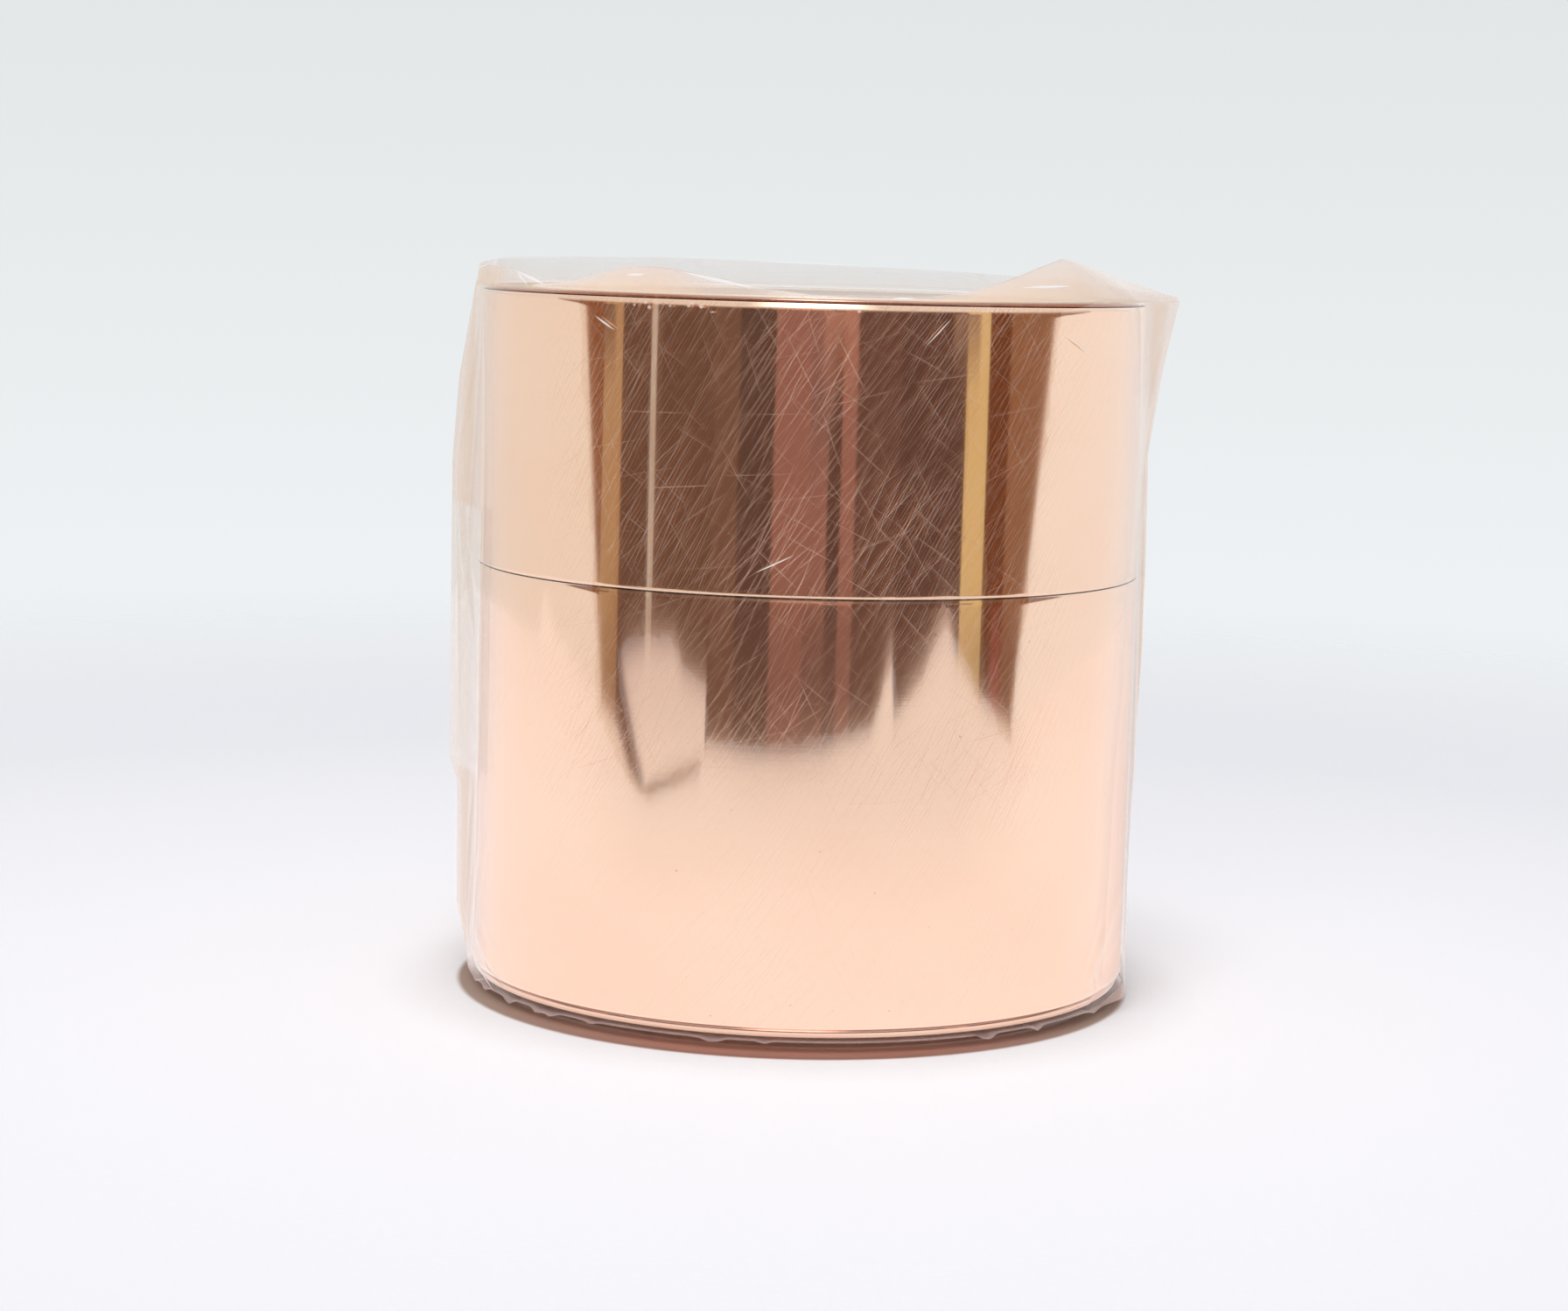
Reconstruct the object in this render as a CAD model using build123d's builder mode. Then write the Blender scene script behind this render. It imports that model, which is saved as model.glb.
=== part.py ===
"""Twin pack of copper foil tape: a 60 mm and a 40 mm wide roll stacked on one axis in a clear film wrap.

Frame: millimetres, +Z up along the rolls' axis, origin at the centre of the face the pack rests on,
-Y is the front. Each roll is a paper core, a wound log of tape and, drawn one by one, the last turn
of release liner, the last turn of copper foil, and the two bits of adhesive tape that hold its ends.
"""

from build123d import *
from math import cos, radians, sin
import os

# Rolls
CORE_BORE_RADIUS = 38.1  # 3 inch paper core
CORE_WALL = 3.0
CORE_EDGE = 0.4  # crushed edge of the cut core
ROLL_RADIUS = 48.5  # outside of the last foil turn, at its tail
LOWER_WIDTH = 60.0
UPPER_WIDTH = 40.0
CORE_TO_CORE = 0.05  # running clearance between stacked cores
WINDING_INSET = 0.15  # the tape is slit a little narrower than the core
SLIP = {"lower": -1.2, "upper": 0.6}  # how far up each roll's inner turns have slipped in it

# Tape layers, drawn thicker than the real foil and paper so that each stays a sound solid
FOIL_THICKNESS = 0.08
LINER_THICKNESS = 0.10
LAYER_GAP = 0.02
TURN_PITCH = FOIL_THICKNESS + LINER_THICKNESS + 3 * LAYER_GAP
OUTER_QUARTERS = 5  # quarter turns drawn: one full turn and the lap under its tail
LINER_SETBACK = 0.5  # the liner's edges sit in from the foil's
ADHESIVE_TAPE = 0.08
START_TAPE_ARC = 34.0  # degrees of core that the start tape covers
START_TAPE_MARGIN = 3.0
TAIL_TAPE_ARC = 17.0
TAIL_TAPE_WIDTH_SHARE = 0.55
TAIL_AZIMUTH = {"lower": 62.0, "upper": 128.0}  # degrees from +X; both tails are at the back

# Wound log
LOG_RINGS = 8  # groups of turns whose ends differ a little
LOG_STEP = 0.07
LOG_EDGE_RADIUS = 0.3

# Film wrap
FILM_THICKNESS = 0.12
FILM_RADIUS = 48.95  # inside face
FILM_FIN_REACH = 52.3  # where the wrap's front and back panels meet, left and right
FILM_COLLAR = 4.5  # film standing above the top roll
HEM_HEIGHT = 1.95  # bunched film folded under the pack
HEM_HOLE_RADIUS = 40.0
HEM_FOOT_RADIUS = 46.0
HEM_TOP_RADIUS = 48.8
SLEEVE_BOTTOM = 1.3

# Sealing tape on the wrap's left overlap
SEAL_BOTTOM = 31.0
SEAL_TOP = 70.5
SEAL_THICKNESS = 0.07
SEAL_EDGE_MARGIN = 0.5
SEAL_TEETH = 13
SEAL_TOOTH_DEPTH = 0.9

CORE_RADIUS = CORE_BORE_RADIUS + CORE_WALL
LOG_INNER_RADIUS = CORE_RADIUS + ADHESIVE_TAPE + 2 * LAYER_GAP
OUTER_GROWTH = TURN_PITCH * OUTER_QUARTERS / 4
LOG_RADIUS = ROLL_RADIUS - OUTER_GROWTH - FOIL_THICKNESS - LINER_THICKNESS - 2 * LAYER_GAP
LOWER_BASE = HEM_HEIGHT + CORE_TO_CORE
UPPER_BASE = LOWER_BASE + LOWER_WIDTH + CORE_TO_CORE
PACK_TOP = UPPER_BASE + UPPER_WIDTH


def radial_plane(azimuth):
    """Upright plane through the axis: its x runs outwards at the azimuth, its y runs up."""
    a = radians(azimuth)
    return Plane(origin=(0, 0, 0), x_dir=(cos(a), sin(a), 0), z_dir=(sin(a), -cos(a), 0))


def curved_strip(inner_radius, thickness, low, high, azimuth, arc):
    """A strip of thin tape bent round the axis, from azimuth to azimuth + arc."""
    with BuildPart() as strip:
        with BuildSketch(radial_plane(azimuth)):
            with Locations((inner_radius + thickness / 2, (low + high) / 2)):
                Rectangle(thickness, high - low)
        revolve(axis=Axis.Z, revolution_arc=arc)
    return strip.part


def paper_core(base, width):
    """Spiral-wound paper tube with slightly crushed ends."""
    with BuildPart() as core:
        with BuildSketch(Plane.XY.offset(base)):
            Circle(CORE_RADIUS)
            Circle(CORE_BORE_RADIUS, mode=Mode.SUBTRACT)
        extrude(amount=width)
        chamfer(core.edges().filter_by(GeomType.CIRCLE), CORE_EDGE)
    return core.part


def log_end_offset(ring):
    """How far a group of turns stands back from the log's nominal end."""
    return LOG_STEP * (1 + sin(2.1 * ring))


def wound_log(low, high):
    """The inner turns of foil and liner as one ring, its ends stepped where the turns differ."""
    ring_width = (LOG_RADIUS - LOG_INNER_RADIUS) / LOG_RINGS
    bottom_points = []
    top_points = []
    for ring in range(LOG_RINGS):
        inner = LOG_INNER_RADIUS + ring * ring_width
        for radius in (inner, inner + ring_width):
            bottom_points.append((radius, low + log_end_offset(ring)))
            top_points.append((radius, high - log_end_offset(ring + LOG_RINGS)))
    with BuildPart() as log:
        with BuildSketch(Plane.XZ) as profile:
            with BuildLine():
                Polyline(*bottom_points, *reversed(top_points), close=True)
            make_face()
            rim_corners = profile.vertices().group_by(Axis.X)[-1]
            fillet(rim_corners, LOG_EDGE_RADIUS)
        revolve(axis=Axis.Z)
    return log.part


def spiral_side(radius, first_azimuth, quarters):
    """Quarter arcs of one growing spiral, each on its own centre so that they join smoothly."""
    step = TURN_PITCH / 4
    center = Vector(0, 0, 0)
    arcs = []
    for quarter in range(quarters):
        start = first_azimuth + 90 * quarter
        arcs.append(CenterArc(center, radius + step * quarter, start, 90))
        end = radians(start + 90)
        center -= Vector(cos(end), sin(end), 0) * step
    return arcs


def spiral_turn(inner_radius, thickness, tail_azimuth, low, high):
    """The last turn of a layer: a thin wall on a spiral that laps over its own start."""
    first = tail_azimuth - 90 * OUTER_QUARTERS
    with BuildPart() as turn:
        with BuildSketch(Plane.XY.offset(low)):
            with BuildLine():
                inside = spiral_side(inner_radius, first, OUTER_QUARTERS)
                outside = spiral_side(inner_radius + thickness, first, OUTER_QUARTERS)
                Line(inside[0] @ 0, outside[0] @ 0)
                Line(inside[-1] @ 1, outside[-1] @ 1)
            make_face()
        extrude(amount=high - low)
    return turn.part


def start_tape(base, width):
    """Double-sided tape that holds the first turn on the core."""
    low = base + START_TAPE_MARGIN
    high = base + width - START_TAPE_MARGIN
    return curved_strip(CORE_RADIUS + LAYER_GAP, ADHESIVE_TAPE, low, high, 0, START_TAPE_ARC)


def tail_tape(base, width, tail_azimuth):
    """Clear tape across the tail, which stops the roll from springing open."""
    middle = base + width / 2
    half = width * TAIL_TAPE_WIDTH_SHARE / 2
    first = tail_azimuth - TAIL_TAPE_ARC / 2
    radius = ROLL_RADIUS + LAYER_GAP
    return curved_strip(radius, ADHESIVE_TAPE, middle - half, middle + half, first, TAIL_TAPE_ARC)


def film_outline(radius):
    """Plan of the wrap: round over the rolls, with a pointed fin at each side."""
    reach = FILM_FIN_REACH * radius / FILM_RADIUS
    tangent = Vector(radius / reach, (1 - (radius / reach) ** 2) ** 0.5, 0)
    half_fin = tangent.get_signed_angle(Vector(1, 0, 0), Vector(0, 0, -1))
    with BuildLine() as outline:
        for side in (0, 180):
            arc = CenterArc((0, 0), radius, side + half_fin, 180 - 2 * half_fin)
            Line(arc @ 1, (-reach if side == 0 else reach, 0))
            Line((reach if side == 0 else -reach, 0), arc @ 0)
    return outline.line


def film_sleeve():
    """Side of the clear wrap, open at the top where it stands up as a collar."""
    with BuildPart() as sleeve:
        with BuildSketch(Plane.XY.offset(SLEEVE_BOTTOM)):
            make_face(film_outline(FILM_RADIUS + FILM_THICKNESS).edges())
            make_face(film_outline(FILM_RADIUS).edges(), mode=Mode.SUBTRACT)
        extrude(amount=PACK_TOP + FILM_COLLAR - SLEEVE_BOTTOM)
    return sleeve.part


def film_hem():
    """The wrap's lower edge, folded back under the rolls into a springy hem that they stand on."""
    bend = HEM_HEIGHT / 2
    bend_center = HEM_HOLE_RADIUS + bend
    inner_bend = bend - FILM_THICKNESS
    with BuildPart() as hem:
        with BuildSketch(Plane.XZ):
            with BuildLine():
                outside = CenterArc((bend_center, bend), bend, 90, 180)
                inside = CenterArc((bend_center, bend), inner_bend, 90, 180)
                Polyline(outside @ 0, (HEM_TOP_RADIUS, HEM_HEIGHT),
                         (HEM_TOP_RADIUS, HEM_HEIGHT - FILM_THICKNESS), inside @ 0)
                Polyline(outside @ 1, (HEM_FOOT_RADIUS, 0), (HEM_FOOT_RADIUS, FILM_THICKNESS), inside @ 1)
            make_face()
        revolve(axis=Axis.Z)
    return hem.part


def seal_tape():
    """Clear tape on the left overlap of the wrap, with the toothed ends that its dispenser cut."""
    radius = FILM_RADIUS + FILM_THICKNESS
    corner = Vector(-FILM_FIN_REACH * radius / FILM_RADIUS, 0, 0)
    lean = radius / corner.X
    outward = Vector(lean, -((1 - lean**2) ** 0.5), 0)
    touch = outward * radius
    facet = Plane(origin=touch + outward * LAYER_GAP, x_dir=(0, 0, 1), z_dir=outward)
    width = (corner - touch).length - 2 * SEAL_EDGE_MARGIN
    pitch = width / SEAL_TEETH
    low_teeth = []
    high_teeth = []
    for tooth in range(SEAL_TEETH):
        left = SEAL_EDGE_MARGIN + tooth * pitch
        low_teeth += [(SEAL_BOTTOM, left), (SEAL_BOTTOM + SEAL_TOOTH_DEPTH, left + pitch / 2)]
        high_teeth += [(SEAL_TOP, left), (SEAL_TOP - SEAL_TOOTH_DEPTH, left + pitch / 2)]
    right = SEAL_EDGE_MARGIN + width
    with BuildPart() as seal:
        with BuildSketch(facet):
            with BuildLine():
                Polyline(*low_teeth, (SEAL_BOTTOM, right), (SEAL_TOP, right), *reversed(high_teeth),
                         close=True)
            make_face()
        extrude(amount=SEAL_THICKNESS)
    return seal.part


def tape_roll(name, base, width):
    """Every piece of one roll, by node name."""
    tail = TAIL_AZIMUTH[name]
    tape_width = width - 2 * WINDING_INSET - abs(SLIP[name])
    log_low = base + WINDING_INSET + max(SLIP[name], 0)
    foil_low = base + WINDING_INSET + max(-SLIP[name], 0)
    foil_high = foil_low + tape_width
    liner_low = foil_low + LINER_SETBACK
    liner_high = foil_high - LINER_SETBACK
    liner_radius = LOG_RADIUS + LAYER_GAP
    foil_radius = liner_radius + LINER_THICKNESS + LAYER_GAP
    return {
        f"{name}_paper_core": paper_core(base, width),
        f"{name}_start_tape": start_tape(base, width),
        f"{name}_wound_tape_log": wound_log(log_low, log_low + tape_width),
        f"{name}_outer_liner_turn": spiral_turn(liner_radius, LINER_THICKNESS, tail, liner_low, liner_high),
        f"{name}_outer_foil_turn": spiral_turn(foil_radius, FOIL_THICKNESS, tail, foil_low, foil_high),
        f"{name}_tail_tape": tail_tape(base, width, tail),
    }


pieces = {
    "film_sleeve": film_sleeve(),
    "film_bottom_hem": film_hem(),
    "film_seal_tape": seal_tape(),
    **tape_roll("lower", LOWER_BASE, LOWER_WIDTH),
    **tape_roll("upper", UPPER_BASE, UPPER_WIDTH),
}

os.makedirs("parts", exist_ok=True)
for name, part in pieces.items():
    part.label = name
    export_step(part, f"parts/{name}.step")
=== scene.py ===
"""The looks of a twin pack of copper foil tape in clear film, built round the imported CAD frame.

Everything is in metres in the CAD's own frame: +Z up along the rolls' axis, -Y the front.
Azimuths are in degrees from +X, counter-clockwise seen from above, so the front is at 270.
"""
from math import cos, hypot, pi, radians, sin

import bpy
import numpy as np
from mathutils import Matrix, Vector


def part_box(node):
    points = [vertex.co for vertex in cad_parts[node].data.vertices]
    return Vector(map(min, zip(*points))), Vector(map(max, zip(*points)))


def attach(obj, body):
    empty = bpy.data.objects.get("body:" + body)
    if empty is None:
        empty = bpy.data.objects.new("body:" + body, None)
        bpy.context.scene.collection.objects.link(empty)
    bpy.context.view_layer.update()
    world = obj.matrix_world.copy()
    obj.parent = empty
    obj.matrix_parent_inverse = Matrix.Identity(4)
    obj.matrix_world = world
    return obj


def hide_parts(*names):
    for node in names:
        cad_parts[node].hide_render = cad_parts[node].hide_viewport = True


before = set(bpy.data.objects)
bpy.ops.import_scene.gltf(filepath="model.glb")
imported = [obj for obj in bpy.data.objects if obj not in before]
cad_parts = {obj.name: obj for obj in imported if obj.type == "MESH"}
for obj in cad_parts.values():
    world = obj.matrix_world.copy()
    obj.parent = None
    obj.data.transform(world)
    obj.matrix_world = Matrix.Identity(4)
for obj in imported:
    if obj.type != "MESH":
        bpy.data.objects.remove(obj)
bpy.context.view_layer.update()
MM = 0.001
FRONT = 270.0


# ---- sizes read from the frame

def low(node):
    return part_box(node)[0].z


def high(node):
    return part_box(node)[1].z


def radii(node):
    """Smallest and largest distance of a CAD node's surface from the axis."""
    reach = [hypot(v.co.x, v.co.y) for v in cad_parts[node].data.vertices]
    return min(reach), max(reach)


CORE_BORE, CORE_OUTER = radii("lower_paper_core")
LOG_INNER, LOG_OUTER = radii("lower_wound_tape_log")
FOIL_INNER, FOIL_OUTER = radii("lower_outer_foil_turn")
LINER_INNER = radii("lower_outer_liner_turn")[0]

FOIL = 0.08 * MM
LINER = 0.10 * MM
PITCH = 0.24 * MM  # one turn of foil and liner
OUTER_TURNS = 1.25
TAIL = {"lower": 62.0, "upper": 128.0}
LOG_TURNS = int((LOG_OUTER - LOG_INNER) / PITCH)
LOG_PITCH = (LOG_OUTER - LOG_INNER) / LOG_TURNS


# ---- meshes

def new_piece(name, points, faces, material, body, replaced, sharp=35.0):
    """A smooth-shaded mesh that rides on a body and stands for CAD nodes."""
    mesh = bpy.data.meshes.new(name)
    mesh.from_pydata([tuple(p) for p in points], [], faces)
    mesh.validate()
    mesh.shade_smooth()
    mesh.set_sharp_from_angle(angle=radians(sharp))
    piece = bpy.data.objects.new(name, mesh)
    bpy.context.scene.collection.objects.link(piece)
    mesh.materials.append(material)
    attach(piece, body)
    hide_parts(*replaced)
    return piece


def paint(piece, name, values):
    """Stores one number per point, for the piece's material to read."""
    layer = piece.data.attributes.new(name, "FLOAT", "POINT")
    layer.data.foreach_set("value", np.asarray(values, dtype=np.float32))


def grid_faces(rows, columns, wrap_rows=False, wrap_columns=False):
    """Quads between the points of a grid stored row by row."""
    faces = []
    for r in range(rows if wrap_rows else rows - 1):
        for c in range(columns if wrap_columns else columns - 1):
            r2 = (r + 1) % rows
            c2 = (c + 1) % columns
            faces.append((r * columns + c, r * columns + c2, r2 * columns + c2, r2 * columns + c))
    return faces


def at(radius, azimuth, z):
    """Points at a radius, azimuth in degrees and height."""
    a = np.radians(azimuth)
    return np.stack(np.broadcast_arrays(radius * np.cos(a), radius * np.sin(a), z), axis=-1)


def ribbon(azimuths, sections):
    """Points and faces of a strip with capped ends: one closed (radius, height) section per azimuth."""
    count = sections.shape[1]
    points = at(sections[:, :, 0], azimuths[:, None], sections[:, :, 1]).reshape(-1, 3)
    faces = grid_faces(len(azimuths), count, wrap_columns=True)
    last = (len(azimuths) - 1) * count
    faces.append(tuple(range(count)))
    faces.append(tuple(last + i for i in reversed(range(count))))
    return points, faces


def waves(values, seed, terms):
    """A smooth, repeatable wander between about -1 and 1."""
    draw = np.random.default_rng(seed)
    total = np.zeros_like(values)
    for k in range(1, terms + 1):
        total = total + np.sin(values * k * 0.73 + draw.uniform(0, 2 * pi)) / k
    return total / 1.6


def smooth(values, start, end):
    """0 before start, 1 after end, and an even S between."""
    t = np.clip((values - start) / (end - start), 0, 1)
    return t * t * (3 - 2 * t)


# ---- the rolls

def edge_heights(bottom, top, gaps, middle_rows):
    """Heights from bottom to top, close together near both edges where the sheet curls."""
    gaps = np.array(gaps) * MM
    middle = np.linspace(bottom + gaps[-1], top - gaps[-1], middle_rows + 2)[1:-1]
    return np.concatenate([bottom + gaps, middle, top - gaps[::-1]])


def curl(distance, depth, reach):
    """How far a sheet turns in near its edge."""
    return depth * np.clip(1 - distance / reach, 0, 1) ** 2


def sheet_section(inner, thickness, heights, shift):
    """Closed cross-section (radius, height) of a thin upright sheet, its middle shifted by shift."""
    outside = np.stack([inner + thickness + shift, heights], axis=-1)
    inside = np.stack([inner + shift, heights], axis=-1)[::-1]
    return np.concatenate([outside, inside])


EDGE_GAPS = (0, 0.05, 0.11, 0.18, 0.26, 0.36, 0.48, 0.62, 0.8, 1.0, 1.3, 1.7, 2.4)
# inward curl of the last turn at its bottom and top edge: depth and reach in mm
CURL = {"lower": ((0.16, 0.7), (0.05, 0.7)), "upper": ((0.04, 0.3), (0.16, 1.1))}
# how far the last turn's foil spreads towards the other roll, at its bottom and top edge
SPREAD = {"lower": (0.0, 0.08 * MM), "upper": (0.08 * MM, 0.0)}


def foil_shift(name, azimuth, heights, bottom, top):
    """Radial shift of a roll's last turn: curled edges and the faint waves of a hand-wound roll."""
    (low_depth, low_reach), (top_depth, top_reach) = CURL[name]
    shift = -curl(heights - bottom, low_depth * MM, low_reach * MM)
    shift = shift - curl(top - heights, top_depth * MM, top_reach * MM)
    seed = 11 if name == "lower" else 12
    drift = waves(np.radians(azimuth) * 4, seed, 5) * np.sin((heights - bottom) / (17 * MM) + seed)
    return shift + 0.006 * MM * drift


def foil_reach(name, azimuth):
    """Radius of a roll's outside face at an azimuth, on its outermost layer."""
    turned = (azimuth - TAIL[name]) % 360 - 360
    return FOIL_INNER + FOIL + PITCH * (OUTER_TURNS + turned / 360)


def last_turn(name, layer, inner, thickness, material):
    """The last turn of foil or liner, on a spiral that laps over its own start."""
    node = f"{name}_outer_{layer}_turn"
    bottom, top = low(node), high(node)
    foil_low, foil_high = low(f"{name}_outer_foil_turn"), high(f"{name}_outer_foil_turn")
    azimuths = np.linspace(TAIL[name] - 360 * OUTER_TURNS, TAIL[name], 541)
    if layer == "foil":
        bottom = bottom - SPREAD[name][0]
        top = top + SPREAD[name][1]
    heights = edge_heights(bottom, top, EDGE_GAPS, 10)
    sections = []
    for azimuth in azimuths:
        grown = inner + PITCH * (azimuth - azimuths[0]) / 360
        shift = foil_shift(name, azimuth, heights, foil_low, foil_high)
        sections.append(sheet_section(grown, thickness, heights, shift))
    points, faces = ribbon(azimuths, np.array(sections))
    return new_piece(f"{name}_{layer}_last_turn", points, faces, material, f"{name}_roll", [node])


def end_offset(turn):
    """How far a turn's edge stands back from the log's end: small groups of turns differ a little."""
    settle = 1 - smooth(turn, LOG_TURNS - 2.5, LOG_TURNS - 1.5)
    return settle * (0.05 + 0.05 * waves(turn * 2.3, 21, 6)) * MM


def wound_layer(name, layer, material):
    """The inner turns of foil or liner, as one strip wound from the core outwards."""
    node = f"{name}_wound_tape_log"
    bottom, top = low(node), high(node)
    steps = 120
    thickness = FOIL if layer == "foil" else LINER
    start = LOG_INNER + (0 if layer == "liner" else LINER + 0.02 * MM)
    inset = 0.12 * MM if layer == "foil" else 0.0
    beaded = 1.25 if layer == "foil" else 0
    turns = LOG_TURNS - 1 - beaded
    first = TAIL[name] - 360 * (OUTER_TURNS + LOG_TURNS - 1)
    turn = np.linspace(0, turns, int(turns * steps) + 1)
    inner = start + LOG_PITCH * turn
    back = inset + end_offset(turn)
    corners = [(inner + thickness, bottom + back), (inner + thickness, top - back),
               (inner, top - back), (inner, bottom + back)]
    sections = np.stack([np.stack(corner, axis=-1) for corner in corners], axis=1)
    points, faces = ribbon(first + 360 * turn, sections)
    shades = np.zeros(len(points))
    if beaded:
        bead, bead_faces = beaded_turns(name, start + LOG_PITCH * turns, first + 360 * turns, beaded)
        faces = faces + [tuple(i + len(points) for i in face) for face in bead_faces]
        points = np.concatenate([points, bead])
        shades = np.concatenate([shades, groove_shade(name, bead[:, 2])])
    piece = new_piece(f"{name}_wound_{layer}", points, faces, material, f"{name}_roll", [node])
    paint(piece, "shade", shades)


def groove_shade(name, heights):
    """Painted darkening of the log's face: shade in the groove by the covering turn, a thin line at the
    slit edge.
    """
    cover = (low(f"{name}_outer_foil_turn"), high(f"{name}_outer_foil_turn"))
    beyond = np.maximum(cover[0] - heights, heights - cover[1]) / MM
    slit_edge = 0.55 * smooth(beyond, beyond.max() - 0.20, beyond.max() - 0.08)
    return np.maximum(1 - 0.85 * smooth(beyond, 0.28, 0.48), slit_edge)


def beaded_turns(name, inner, first, turns):
    """The log's last turns of foil, swelled out past the edge of the turn that covers them."""
    bottom, top = low(f"{name}_wound_tape_log"), high(f"{name}_wound_tape_log")
    cover = (low(f"{name}_outer_foil_turn"), high(f"{name}_outer_foil_turn"))
    heights = edge_heights(bottom, top, EDGE_GAPS, 4)
    beyond = np.maximum(cover[0] - heights, heights - cover[1])
    swell = 0.2 * MM * np.sin(pi * np.clip(beyond / beyond.max(), 0, 1)) ** 0.7
    azimuths = np.linspace(first, first + 360 * turns, int(300 * turns))
    sections = []
    for azimuth in azimuths:
        grown = inner + LOG_PITCH * (azimuth - first) / 360
        sections.append(sheet_section(grown, FOIL, heights, swell * smooth(azimuth, first, first + 90)))
    return ribbon(azimuths, np.array(sections))


def seam_groove(azimuth, z, lead, depth, width):
    """Depth of the helical butt joint between the board plies, at a place on the core."""
    along = (z - lead * azimuth / 360) % lead - lead / 2
    return depth * np.exp(-((along / width) ** 2))


def paper_core(name, material):
    """The spiral-wound board tube, with its helical ply joint and the plies showing at its cut ends."""
    node = f"{name}_paper_core"
    bottom, top = low(node), high(node)
    wall = CORE_OUTER - CORE_BORE
    edge = 0.4 * MM
    rows = int((top - bottom) / (0.4 * MM))
    bore_heights = np.linspace(bottom + edge, top - edge, rows)
    shares = np.linspace(0, 1, 25)
    crush = 0.05 * MM * np.abs(np.sin(shares * pi * 5)) ** 0.5
    rounding = edge * (1 - np.sqrt(np.clip(1 - (2 * np.abs(shares - 0.5)) ** 8, 0, 1)))
    azimuths = np.linspace(0, 360, 241)[:-1]
    sections = []
    for azimuth in azimuths:
        groove = seam_groove(azimuth, bore_heights, 74 * MM, 0.16 * MM, 0.35 * MM)
        lap = 0.03 * MM * waves(np.array(azimuth / 9.0), 31, 5)
        bore = np.stack([CORE_BORE + groove, bore_heights], axis=-1)
        end = CORE_BORE + wall * shares
        ragged = crush + rounding + lap * np.sin(shares * pi)
        top_face = np.stack([end, top - ragged], axis=-1)
        bottom_face = np.stack([end, bottom + ragged], axis=-1)[::-1]
        sections.append(np.concatenate([bore, top_face, bottom_face]))
    sections = np.array(sections)
    points = at(sections[:, :, 0], azimuths[:, None], sections[:, :, 1]).reshape(-1, 3)
    faces = grid_faces(len(azimuths), sections.shape[1], wrap_rows=True, wrap_columns=True)
    return new_piece(f"{name}_core_tube", points, faces, material, f"{name}_roll", [node],
                     50)


def toothed_strip(name, inside, azimuths, bottom, top, thickness, teeth_depth, material, body, node):
    """Thin tape on a curved surface, with toothed ends: inside(azimuth, z) is the radius under it."""
    heights = np.linspace(bottom, top, 25)
    layers = []
    for offset in (0, thickness):
        layer = []
        for c, azimuth in enumerate(azimuths):
            tooth = teeth_depth * (c % 2)
            z = np.clip(heights, bottom + tooth, top - tooth)
            layer.append(at(inside(azimuth, z) + offset, azimuth, z))
        layers.append(np.array(layer).reshape(-1, 3))
    columns = len(heights)
    rows = len(azimuths)
    count = rows * columns
    under = [tuple(reversed(face)) for face in grid_faces(rows, columns)]
    over = [tuple(i + count for i in face) for face in grid_faces(rows, columns)]
    rim = [r * columns for r in range(rows)]
    rim += [(rows - 1) * columns + c for c in range(1, columns)]
    rim += [r * columns + columns - 1 for r in range(rows - 2, -1, -1)]
    rim += [c for c in range(columns - 2, 0, -1)]
    walls = [(a, b, b + count, a + count) for a, b in zip(rim, rim[1:] + rim[:1])]
    points = np.concatenate(layers)
    return new_piece(name, points, under + over + walls, material, body, [node])


def tail_tape(name, material):
    """Clear tape draped over the step where the last turn ends."""
    node = f"{name}_tail_tape"
    half = 8.5
    step = 0.8

    def under(azimuth, z):
        fallen = smooth(azimuth, TAIL[name], TAIL[name] + step)
        outer = foil_reach(name, TAIL[name] - 0.001)
        inner = foil_reach(name, TAIL[name] + 0.001 + max(azimuth - TAIL[name], 0))
        before = foil_reach(name, min(azimuth, TAIL[name] - 0.001))
        return (before if azimuth < TAIL[name] else outer * (1 - fallen) + inner * fallen) + 0.03 * MM

    azimuths = np.linspace(TAIL[name] - half, TAIL[name] + half, 61)
    return toothed_strip(f"{name}_end_tape", under, azimuths, low(node), high(node), 0.05 * MM, 0.7 * MM,
                         material, f"{name}_roll", node)


def start_tape(name, material):
    """Double-sided tape between the core and the first turn."""
    node = f"{name}_start_tape"
    inner = radii(node)[0]

    def under(azimuth, z):
        return inner + 0.01 * MM * np.sin(z / (1.3 * MM))

    azimuths = np.linspace(0, 34, 41)
    return toothed_strip(f"{name}_core_tape", under, azimuths, low(node), high(node), 0.06 * MM,
                         0.3 * MM, material, f"{name}_roll", node)


# ---- the film wrap

FILM_RADIUS = FOIL_OUTER + 0.48 * MM
RIM = high("upper_outer_foil_turn") + 0.6 * MM
FLOOR_GAP = 0.06 * MM
LEFT_FIN = 180.0

# (height, reach past the round part) in mm: where the front and back panels are pressed together
LEFT_REACH = ((0, 0.0), (3, 0.5), (10, 1.9), (28, 2.1), (32, 3.3), (76, 3.5), (88, 2.7), (103, 0.3),
              (110, 0.3))
RIGHT_REACH = ((0, 1.7), (2, 1.6), (7, 1.3), (20, 1.1), (60, 0.9), (80, 0.5), (92, 2.3), (102, 4.4),
               (110, 4.6))
# (height in mm, azimuth) of the right fold, which wanders round to the front on its way down
RIGHT_FOLD = ((0, -19.0), (30, -17.0), (70, -8.0), (86, -2.0), (96, 0.0), (110, 0.0))
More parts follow.
